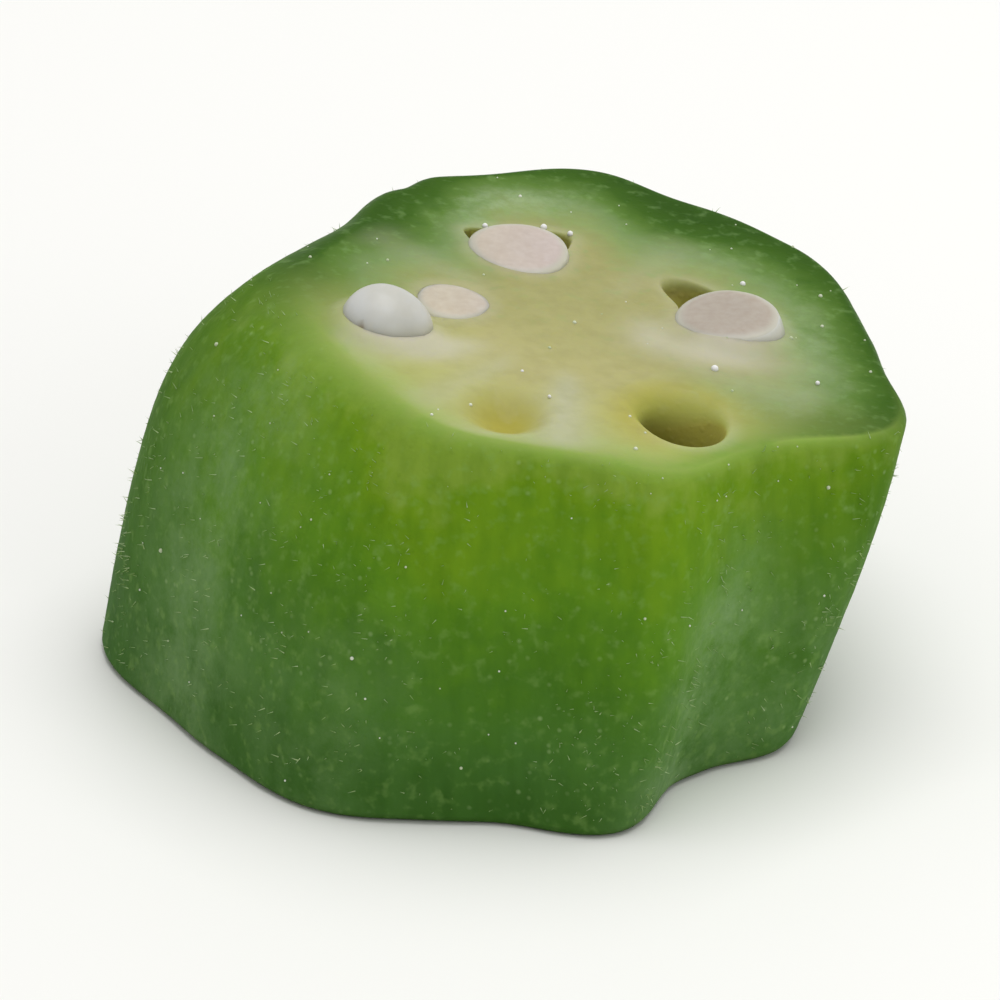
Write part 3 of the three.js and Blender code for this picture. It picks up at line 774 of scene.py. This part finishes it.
bump_height = add_node(tree, "ShaderNodeMath", {"operation": "MULTIPLY_ADD"}, {
    0: base_dot, 1: 0.7, 2: grainy})
bump_strength = add_node(tree, "ShaderNodeMapRange", links={
    "Value": read["cut"], "To Min": 0.3, "To Max": 0.1})
bumped = add_node(tree, "ShaderNodeBump", links={
    "Height": bump_height, "Strength": bump_strength, "Distance": 0.05 * MM})
gloss = add_node(tree, "ShaderNodeMix", {"data_type": "FLOAT"}, {
    "Factor": read["cut"],
    "A": add_node(tree, "ShaderNodeMapRange", links={"Value": mottle, "To Min": 0.45, "To Max": 0.7}),
    "B": add_node(tree, "ShaderNodeMapRange", links={"Value": mottle, "To Min": 0.25, "To Max": 0.45})})
off_rim = add_node(tree, "ShaderNodeMapRange", links={"Value": read["rim"], "From Min": 1.5, "From Max": 3.5})
wet_patch = add_node(tree, "ShaderNodeMapRange", links={
    "Value": mottle, "From Min": 0.4, "From Max": 0.65, "To Max": 0.3})
wetness = add_node(tree, "ShaderNodeMath", {"operation": "MULTIPLY"}, {0: off_rim, 1: wet_patch})
shader = add_node(tree, "ShaderNodeBsdfPrincipled", links={
    "Base Color": flesh_colour, "Roughness": gloss, "IOR": 1.38, "Specular IOR Level": 0.04, "Normal": bumped,
    "Subsurface Weight": 0.35, "Subsurface Radius": (0.8, 1.0, 0.25), "Subsurface Scale": 0.9 * MM,
    "Coat Weight": wetness, "Coat Roughness": 0.1, "Coat IOR": 1.33})
add_node(tree, "ShaderNodeOutputMaterial", links={"Surface": shader})
slice_mesh.materials.append(flesh)
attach(pod_slice, "root")
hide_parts("pod")


# Seed stalks
# Each whole seed grows on a short, soft stalk from the pith, a little thicker at its foot. Those of the seeds
# at the upper cut are gone. Sizes are in millimetres.
STALK_FOOT, STALK_TIP = 0.55, 0.34
STALK_SUNK = 0.6  # how far its foot is sunk in the pith
STALK_IN_SEED = 0.15  # and its tip in the seed
STALK_SAG = 0.12
STALK_FREE_DEPTH = 1.0
STALK_SIDES = 12
STALK_RINGS = 6

stalk_patches = Patchwork(PATCH_VALUES)
for name, seeds in SEEDS.items():
    for depth, distance, across, length, width, _ in seeds:
        if depth < STALK_FREE_DEPTH:
            continue
        centre, share = seed_middle(name, depth, distance, across)
        foot_distance = CHAMBERS[name]["distance"] - CHAMBERS[name]["deep"] - STALK_SUNK
        foot = inner_point(CHAMBERS[name]["angle"], foot_distance, 0.0, share)
        along = centre - foot
        reach = np.linalg.norm(along) - length / 2 + STALK_IN_SEED
        along = along / np.linalg.norm(along)
        beside = np.cross(along, [0, 0, 1])
        beside = beside / np.linalg.norm(beside)
        upright = np.cross(beside, along)
        stalk_rows = []
        turn = np.linspace(0, 2 * np.pi, STALK_SIDES, endpoint=False)
        for ring in range(STALK_RINGS + 3):
            closed = ring in (0, STALK_RINGS + 2)
            part = min(max(ring - 1, 0), STALK_RINGS) / STALK_RINGS
            radius = 0.0 if closed else STALK_FOOT + (STALK_TIP - STALK_FOOT) * smooth_step(0.0, 0.7, part)
            spine = foot + along * reach * part - np.array([0, 0, STALK_SAG * math.sin(math.pi * part)])
            circle = np.outer(np.cos(turn), beside) + np.outer(np.sin(turn), upright)
            stalk_rows.append(spine + radius * circle)
        stalk_values = {"below": (1 - share) * SLICE_HEIGHT, "hollow": 1.0}
        stalk_patches.add_rows(stalk_rows, [stalk_values] * len(stalk_rows))
stalk_mesh = stalk_patches.mesh("seed_stalks", MIDDLE)
work = bmesh.new()
work.from_mesh(stalk_mesh)
bmesh.ops.recalc_face_normals(work, faces=work.faces)
work.to_mesh(stalk_mesh)
work.free()
stalk_mesh.materials.append(flesh)
seed_stalks = add_object("seed_stalks", stalk_mesh)
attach(seed_stalks, "root")


# Seeds
# Round, pearly and soft, each in its own node. Those at the upper cut lost a slice to the knife, which shows
# the thin white coat round a pinkish grey kernel. Sizes are in millimetres.
BASE_SEED_RECESS = 0.3
SEED_SIDES = 56
SEED_RINGS = 36
CAP_RINGS = 18
SEED_LUMPS, SEED_LUMP_SIZE = 0.035, 1.1
FACET_DOME = 0.16  # how far a facet's middle stands over its rounded edge
FACET_ROUNDING = 6  # the higher, the narrower the rounded edge
FACET_LUMPS, FACET_LUMP_SIZE = 0.02, 0.5
SLIME_HEIGHT = (0.1, 0.7)  # over the cut: slime covers the coat up to the first height and ends at the second
SCARS = {"seed_left_1": (-0.51, -0.74, 0.45)}  # the way the stalk's scar faces, where not towards the pith
SCAR_SIZE = 0.22
SCAR_DEPTH = 0.06

# Fresh seed: a thin, wet coat over starchy flesh. Light spreads far in both, so a seed looks pearly under a
# faint gloss, and the cut kernel looks duller than the coat round it.
pearl, tree = new_material("fresh_seed")
place = add_node(tree, "ShaderNodeTexCoord").outputs["Object"]
inward, scar, sunk = [add_node(tree, "ShaderNodeAttribute", {"attribute_name": name}).outputs["Fac"]
                      for name in ("inward", "scar", "sunk")]
cloud = add_node(tree, "ShaderNodeTexNoise", links={"Vector": place, "Scale": size(1.3), "Detail": 3.0})
dusty = add_node(tree, "ShaderNodeTexNoise", links={"Vector": place, "Scale": size(0.3), "Detail": 3.0})
along = add_node(tree, "ShaderNodeSeparateXYZ", links={"Vector": place}).outputs["X"]
region = add_node(tree, "ShaderNodeMapRange", links={"Value": along, "From Min": -3 * MM, "From Max": 9 * MM})
coat_colour = add_node(tree, "ShaderNodeValToRGB", {"stops": [(0.3, "#b9b9b3"), (0.7, "#c4c5c3")]}, {
    "Fac": cloud})
scarred = add_node(tree, "ShaderNodeMix", {"data_type": "RGBA"}, {
    "Factor": scar, "A": coat_colour, "B": "#7d6552"})
kernel_tone = add_node(tree, "ShaderNodeValToRGB", {"stops": [
    (0.1, "#c1b8a7"), (0.42, "#bfb3af"), (0.8, "#aca398")]}, {"Fac": region})
dust_share = add_node(tree, "ShaderNodeMapRange", links={
    "Value": dusty, "From Min": 0.35, "From Max": 0.7, "To Max": 0.3})
kernel_dust = add_node(tree, "ShaderNodeMix", {"data_type": "RGBA", "blend_type": "MULTIPLY"}, {
    "Factor": dust_share, "A": kernel_tone, "B": "#dccfc4"})
coat_share = add_node(tree, "ShaderNodeMapRange", {"interpolation_type": "SMOOTHSTEP"}, {
    "Value": inward, "From Max": 0.22})
kernel_colour = add_node(tree, "ShaderNodeMix", {"data_type": "RGBA"}, {
    "Factor": coat_share, "A": "#b6b4a8", "B": kernel_dust})
is_kernel = add_node(tree, "ShaderNodeMath", {"operation": "GREATER_THAN"}, {0: inward, 1: 0.001})
seed_colour = add_node(tree, "ShaderNodeMix", {"data_type": "RGBA"}, {
    "Factor": is_kernel, "A": scarred, "B": kernel_colour})
slimed = add_node(tree, "ShaderNodeMix", {"data_type": "RGBA"}, {
    "Factor": sunk, "A": seed_colour, "B": "#bdbaa7"})
seed_bump = add_node(tree, "ShaderNodeBump", links={"Height": dusty, "Strength": 0.2, "Distance": 0.03 * MM})
shader = add_node(tree, "ShaderNodeBsdfPrincipled", links={
    "Base Color": slimed, "Roughness": 0.35, "IOR": 1.4, "Specular IOR Level": 0.25, "Normal": seed_bump,
    "Subsurface Weight": 0.85, "Subsurface Radius": (1.0, 0.9, 0.75), "Subsurface Scale": 1.2 * MM,
    "Coat Weight": 0.15, "Coat Roughness": 0.12})
add_node(tree, "ShaderNodeOutputMaterial", links={"Surface": shader})

for chamber, seeds in SEEDS.items():
    for number, (depth_below, distance, across, length, width, facet) in enumerate(seeds, 1):
        node = f"seed_{chamber}_{number}"
        middle, _ = seed_middle(chamber, depth_below, distance, across)
        work = bmesh.new()
        grid = []
        for ring in range(SEED_RINGS + 1):
            turn = math.pi * ring / SEED_RINGS
            radius = width / 2 * math.sin(turn) * (1 + SEED_BLUNTNESS * math.cos(turn))
            sides = 1 if ring in (0, SEED_RINGS) else SEED_SIDES
            level = [2 * math.pi * side / sides for side in range(sides)]
            grid.append([work.verts.new((
                length / 2 * math.cos(turn), radius * math.cos(angle), radius * math.sin(angle)))
                for angle in level])
        for first, second in zip(grid, grid[1:]):
            for s in range(SEED_SIDES):
                after = (s + 1) % SEED_SIDES
                ring = [first[s % len(first)], second[s % len(second)],
                        second[after % len(second)], first[after % len(first)]]
                work.faces.new(list(dict.fromkeys(ring)))
        inward_layer = work.verts.layers.float.new("inward")
        scar_layer = work.verts.layers.float.new("scar")
        turned = Matrix.Rotation(math.radians(CHAMBERS[chamber]["angle"]), 4, "Z")
        scar_way = turned.inverted() @ Vector(SCARS[node]) if node in SCARS else Vector((-1, 0, 0))
        scar_place = Vector(part * half for part, half in zip(scar_way, (length / 2, width / 2, width / 2)))
        for vertex in work.verts:
            near_scar = float(1 - smooth_step(0.3 * SCAR_SIZE, SCAR_SIZE, (vertex.co - scar_place).length))
            vertex[scar_layer] = near_scar
            vertex.co -= SCAR_DEPTH * near_scar * vertex.co.normalized()
        bmesh.ops.transform(work, matrix=Matrix.Translation(Vector(middle)) @ turned, verts=work.verts)
        for vertex in work.verts:
            outward = (vertex.co - Vector(middle)).normalized()
            bump = noise.noise(vertex.co / SEED_LUMP_SIZE + Vector((distance, 0, depth_below)))
            vertex.co += outward * SEED_LUMPS * bump
        if facet:
            if facet == "base":
                knife, facing = Vector((0, 0, BASE_SEED_RECESS)), Vector((0, 0, -1))
            else:
                rise, fall, tip = facet
                cut_here = cut_height(middle[0] - AXIS_LEAN)
                knife = Vector((middle[0], middle[1], cut_here + rise - FACET_DOME / 2))
                facing = Matrix.Rotation(math.radians(tip), 3, "X") @ Vector((fall, 0, 1)).normalized()
            everything = list(work.verts) + list(work.edges) + list(work.faces)
            split = bmesh.ops.bisect_plane(
                work, geom=everything, plane_co=knife, plane_no=facing, clear_outer=True)
            loop = [v for v in split["geom_cut"] if isinstance(v, bmesh.types.BMVert)]
            centre = sum((v.co for v in loop), Vector()) / len(loop)
            first_axis = (loop[0].co - centre).normalized()
            second_axis = facing.cross(first_axis)
            loop.sort(key=lambda v: math.atan2(
                (v.co - centre).dot(second_axis), (v.co - centre).dot(first_axis)))
            outer = loop
            for ring in range(1, CAP_RINGS + 1):
                share_in = ring / CAP_RINGS
                if ring == CAP_RINGS:
                    inner = [work.verts.new(centre)]
                else:
                    inner = [work.verts.new(centre + (v.co - centre) * (1 - share_in)) for v in loop]
                for vertex in inner:
                    vertex[inward_layer] = share_in
                    swell = FACET_DOME * (1 - (1 - share_in) ** FACET_ROUNDING)
                    lump = FACET_LUMPS * share_in * noise.noise(vertex.co / FACET_LUMP_SIZE)
                    vertex.co += facing * (swell + lump)
                for s in range(len(loop)):
                    after = (s + 1) % len(loop)
                    face = [outer[s], outer[after], inner[after % len(inner)], inner[s % len(inner)]]
                    work.faces.new(list(dict.fromkeys(face)))
                outer = inner
        sunk_layer = work.verts.layers.float.new("sunk")
        for vertex in work.verts:
            above = vertex.co.z - cut_height(vertex.co.x - AXIS_LEAN)
            outer_part = 1 - smooth_step(0.0, 0.1, vertex[inward_layer])
            slime = 1 - smooth_step(*SLIME_HEIGHT, above)
            vertex[sunk_layer] = float(slime * outer_part * (depth_below < STALK_FREE_DEPTH))
        bmesh.ops.translate(work, vec=Vector(MIDDLE), verts=work.verts)
        bmesh.ops.scale(work, vec=(MM, MM, MM), verts=work.verts)
        bmesh.ops.recalc_face_normals(work, faces=work.faces)
        for face in work.faces:
            face.smooth = True
        seed_mesh = bpy.data.meshes.new(node + "_fresh")
        work.to_mesh(seed_mesh)
        work.free()
        seed_mesh.materials.append(pearl)
        seed = add_object(node + "_fresh", seed_mesh)
        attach(seed, "root")
        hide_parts(node)


# Bristles
# Short, stiff, almost clear hairs that stand on the skin, more of them along the ribs. Geometry Nodes scatter
# them. They are drawn a little thicker than the real ones, which are too fine to show.
BRISTLE_LENGTH = 0.22 * MM
BRISTLE_RADIUS = 0.015 * MM
BRISTLES_EACH = 8e6  # for each square metre of a rib's ridge
BARE_FOOT = (0.5 * MM, 0.6 * MM)  # the hairs begin between these heights

# Plant hair: clear, stiff cell walls with a little green showing through. Each one is a fine, pale line.
glassy, tree = new_material("plant_hair")
place = add_node(tree, "ShaderNodeTexCoord").outputs["Object"]
hair_tone = add_node(tree, "ShaderNodeTexNoise", links={"Vector": place, "Scale": size(0.5), "Detail": 1.0})
hair_colour = add_node(tree, "ShaderNodeValToRGB", {"stops": [(0.35, "#6f8f4c"), (0.7, "#aac08c")]}, {
    "Fac": hair_tone})
shader = add_node(tree, "ShaderNodeBsdfPrincipled", links={
    "Base Color": hair_colour, "Roughness": 0.4, "IOR": 1.5, "Subsurface Weight": 0.3,
    "Subsurface Radius": (1.0, 1.0, 0.6), "Subsurface Scale": 0.1 * MM})
add_node(tree, "ShaderNodeOutputMaterial", links={"Surface": shader})


def new_growth(name, inputs):
    """A geometry nodes tree that grows something on a mesh, and the outputs of its named inputs."""
    made = bpy.data.node_groups.new(name, "GeometryNodeTree")
    for socket_name in ("Geometry", *inputs):
        kind = socket_name if socket_name in ("Geometry", "Material") else "Float"
        made.interface.new_socket(socket_name, in_out="INPUT", socket_type="NodeSocket" + kind)
    made.interface.new_socket("Geometry", in_out="OUTPUT", socket_type="NodeSocketGeometry")
    return made, add_node(made, "NodeGroupInput").outputs


tree, given = new_growth("bristles", ("Density", "Length", "Radius", "Material"))
cut, hollow, ridge = [
    add_node(tree, "GeometryNodeInputNamedAttribute", {"data_type": "FLOAT"}, {"Name": name})
    for name in ("cut", "hollow", "ridge")]
position = add_node(tree, "GeometryNodeInputPosition")
where = add_node(tree, "ShaderNodeSeparateXYZ", links={"Vector": position})
near_foot = add_node(tree, "ShaderNodeMapRange", links={
    "Value": where.outputs["Z"], "From Min": BARE_FOOT[0], "From Max": BARE_FOOT[1], "To Min": 1.0,
    "To Max": 0.0})
off_cut = add_node(tree, "ShaderNodeMath", {"operation": "ADD"}, {0: cut, 1: hollow})
off_skin = add_node(tree, "ShaderNodeMath", {"operation": "ADD"}, {0: off_cut, 1: near_foot})
on_skin = add_node(tree, "FunctionNodeCompare", {"data_type": "FLOAT", "operation": "LESS_THAN"}, {
    "A": off_skin, "B": 0.85})
crowding = add_node(tree, "ShaderNodeMapRange", links={"Value": ridge, "To Min": 0.45, "To Max": 1.0})
clusters = add_node(tree, "ShaderNodeTexNoise", links={"Scale": size(2.2), "Detail": 2.0})
clustered = add_node(tree, "ShaderNodeMapRange", links={
    "Value": clusters, "From Min": 0.42, "From Max": 0.68})
crowded = add_node(tree, "ShaderNodeMath", {"operation": "MULTIPLY"}, {0: crowding, 1: clustered})
density = add_node(tree, "ShaderNodeMath", {"operation": "MULTIPLY"}, {0: given["Density"], 1: crowded})
roots = add_node(tree, "GeometryNodeDistributePointsOnFaces", {"distribute_method": "RANDOM"}, {
    "Mesh": given["Geometry"], "Selection": on_skin, "Density": density, "Seed": 5})
lean = add_node(tree, "FunctionNodeRandomValue", {"data_type": "FLOAT_VECTOR"}, {
    "Min": (-0.75, -0.75, -0.45), "Max": (0.75, 0.75, 0.75), "Seed": 8})
pointing = add_node(tree, "ShaderNodeVectorMath", {"operation": "ADD"}, {0: roots.outputs["Normal"], 1: lean})
turned_out = add_node(tree, "FunctionNodeAlignRotationToVector", {"axis": "Z"}, {"Vector": pointing})
bristle = add_node(tree, "GeometryNodeMeshCone", {"fill_type": "NGON"}, {
    "Vertices": 5, "Side Segments": 2, "Radius Top": 0.0, "Radius Bottom": given["Radius"],
    "Depth": given["Length"]})
reach = add_node(tree, "FunctionNodeRandomValue", {"data_type": "FLOAT"}, {"Min": 0.4, "Max": 1.4, "Seed": 3})
planted = add_node(tree, "GeometryNodeInstanceOnPoints", links={
    "Points": roots.outputs["Points"], "Instance": bristle.outputs["Mesh"], "Rotation": turned_out,
    "Scale": reach})
real = add_node(tree, "GeometryNodeRealizeInstances", links={"Geometry": planted})
finished = add_node(tree, "GeometryNodeSetMaterial", links={"Geometry": real, "Material": given["Material"]})
add_node(tree, "NodeGroupOutput", links={"Geometry": finished})


def grown(name, tree, carrier_mesh, inputs):
    """The plain mesh that a tree grows on a mesh, with the tree's named inputs set before it is evaluated."""
    carrier = add_object(name + "_carrier", carrier_mesh)
    modifier = carrier.modifiers.new(name, "NODES")
    modifier.node_group = tree
    for item in tree.interface.items_tree:
        if item.in_out == "INPUT" and item.name in inputs:
            modifier[item.identifier] = inputs[item.name]
    evaluated = carrier.evaluated_get(bpy.context.evaluated_depsgraph_get())
    mesh = bpy.data.meshes.new_from_object(evaluated)
    mesh.name = name
    carrier.modifiers.remove(modifier)
    bpy.data.objects.remove(carrier)
    return mesh


bristle_mesh = grown("bristles", tree, slice_mesh, {
    "Density": BRISTLES_EACH, "Length": BRISTLE_LENGTH, "Radius": BRISTLE_RADIUS, "Material": glassy})
bristles = add_object("bristles", bristle_mesh)
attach(bristles, "root")


# Juice
# Cut okra weeps a clear, slippery juice. It stands in tiny beads on the cut, in the chambers' mouths and,
# where the knife or a finger took it, on the skin. Each bead shows as a glint.
BEADS_EACH = 0.11e6  # for each square metre
BEAD_RADIUS = 0.065 * MM
DRY_FOOT = 0.4 * MM  # no bead stands lower, so none reaches under the lower cut
PLACED_BEADS = [  # on the upper cut, in millimetres from its middle: x, y and radius
    (-0.95, 7.5, 0.12), (-0.05, 7.3, 0.1), (-2.95, 7.0, 0.1), (5.8, 5.2, 0.1), (4.75, -1.6, 0.13),
    (8.2, -1.6, 0.08), (-1.7, -3.7, 0.06), (-0.8, -5.3, 0.06)]
BEAD_RISE = 0.3  # how much of its radius a placed bead's middle stands over the cut

# Okra juice: thick and slippery, and milky with fine starch. Its colour is also a painted highlight, near
# white, so a bead of it is a smooth, pale dot with a glint.
juice, tree = new_material("okra_juice")
place = add_node(tree, "ShaderNodeTexCoord").outputs["Object"]
milky = add_node(tree, "ShaderNodeTexNoise", links={"Vector": place, "Scale": size(2.0), "Detail": 1.0})
juice_and_glint_colour = add_node(tree, "ShaderNodeValToRGB", {"stops": [(0.4, "#c8d4b0"), (0.6, "#eef1e4")]}, {
    "Fac": milky})
shader = add_node(tree, "ShaderNodeBsdfPrincipled", links={
    "Base Color": juice_and_glint_colour, "Roughness": 0.05, "IOR": 1.34, "Transmission Weight": 0.15})
add_node(tree, "ShaderNodeOutputMaterial", links={"Surface": shader})

tree, given = new_growth("beads", ("Density", "Radius", "Material"))
hollow = add_node(tree, "GeometryNodeInputNamedAttribute", {"data_type": "FLOAT"}, {"Name": "hollow"})
position = add_node(tree, "GeometryNodeInputPosition")
where = add_node(tree, "ShaderNodeSeparateXYZ", links={"Vector": position})
off_floor = add_node(tree, "FunctionNodeCompare", {"data_type": "FLOAT", "operation": "GREATER_THAN"}, {
    "A": where.outputs["Z"], "B": DRY_FOOT})
normal = add_node(tree, "GeometryNodeInputNormal")
facing = add_node(tree, "ShaderNodeSeparateXYZ", links={"Vector": normal})
outside = add_node(tree, "ShaderNodeMapRange", links={"Value": hollow, "To Min": 1.0, "To Max": 0.0})
upwards = add_node(tree, "ShaderNodeMapRange", links={
    "Value": facing.outputs["Z"], "From Min": -0.5, "From Max": 0.2})
wet = add_node(tree, "ShaderNodeMath", {"operation": "MULTIPLY"}, {0: outside, 1: upwards})
density = add_node(tree, "ShaderNodeMath", {"operation": "MULTIPLY"}, {0: wet, 1: given["Density"]})
spots = add_node(tree, "GeometryNodeDistributePointsOnFaces", {"distribute_method": "RANDOM"}, {
    "Mesh": given["Geometry"], "Selection": off_floor, "Density": density, "Seed": 21})
ball = add_node(tree, "GeometryNodeMeshUVSphere", links={
    "Segments": 8, "Rings": 5, "Radius": given["Radius"]})
drawn = add_node(tree, "FunctionNodeRandomValue", {"data_type": "FLOAT"}, {"Min": 0.0, "Max": 1.0, "Seed": 4})
rarely_large = add_node(tree, "ShaderNodeMath", {"operation": "POWER"}, {0: drawn, 1: 3.0})
bead_size = add_node(tree, "ShaderNodeMapRange", links={
    "Value": rarely_large, "To Min": 0.45, "To Max": 1.25})
beaded = add_node(tree, "GeometryNodeInstanceOnPoints", links={
    "Points": spots.outputs["Points"], "Instance": ball.outputs["Mesh"],
    "Rotation": spots.outputs["Rotation"], "Scale": bead_size})
real = add_node(tree, "GeometryNodeRealizeInstances", links={"Geometry": beaded})
finished = add_node(tree, "GeometryNodeSetMaterial", links={"Geometry": real, "Material": given["Material"]})
add_node(tree, "NodeGroupOutput", links={"Geometry": finished})

bead_mesh = grown("juice_beads", tree, slice_mesh, {
    "Density": BEADS_EACH, "Radius": BEAD_RADIUS, "Material": juice})
work = bmesh.new()
work.from_mesh(bead_mesh)
for x, y, radius in PLACED_BEADS:
    at = Vector((x + AXIS_LEAN + MIDDLE[0], y + MIDDLE[1], cut_height(x) + BEAD_RISE * radius)) * MM
    bmesh.ops.create_uvsphere(
        work, u_segments=10, v_segments=7, radius=radius * MM, matrix=Matrix.Translation(at))
for face in work.faces:
    face.smooth = True
work.to_mesh(bead_mesh)
work.free()
juice_beads = add_object("juice_beads", bead_mesh)
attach(juice_beads, "root")
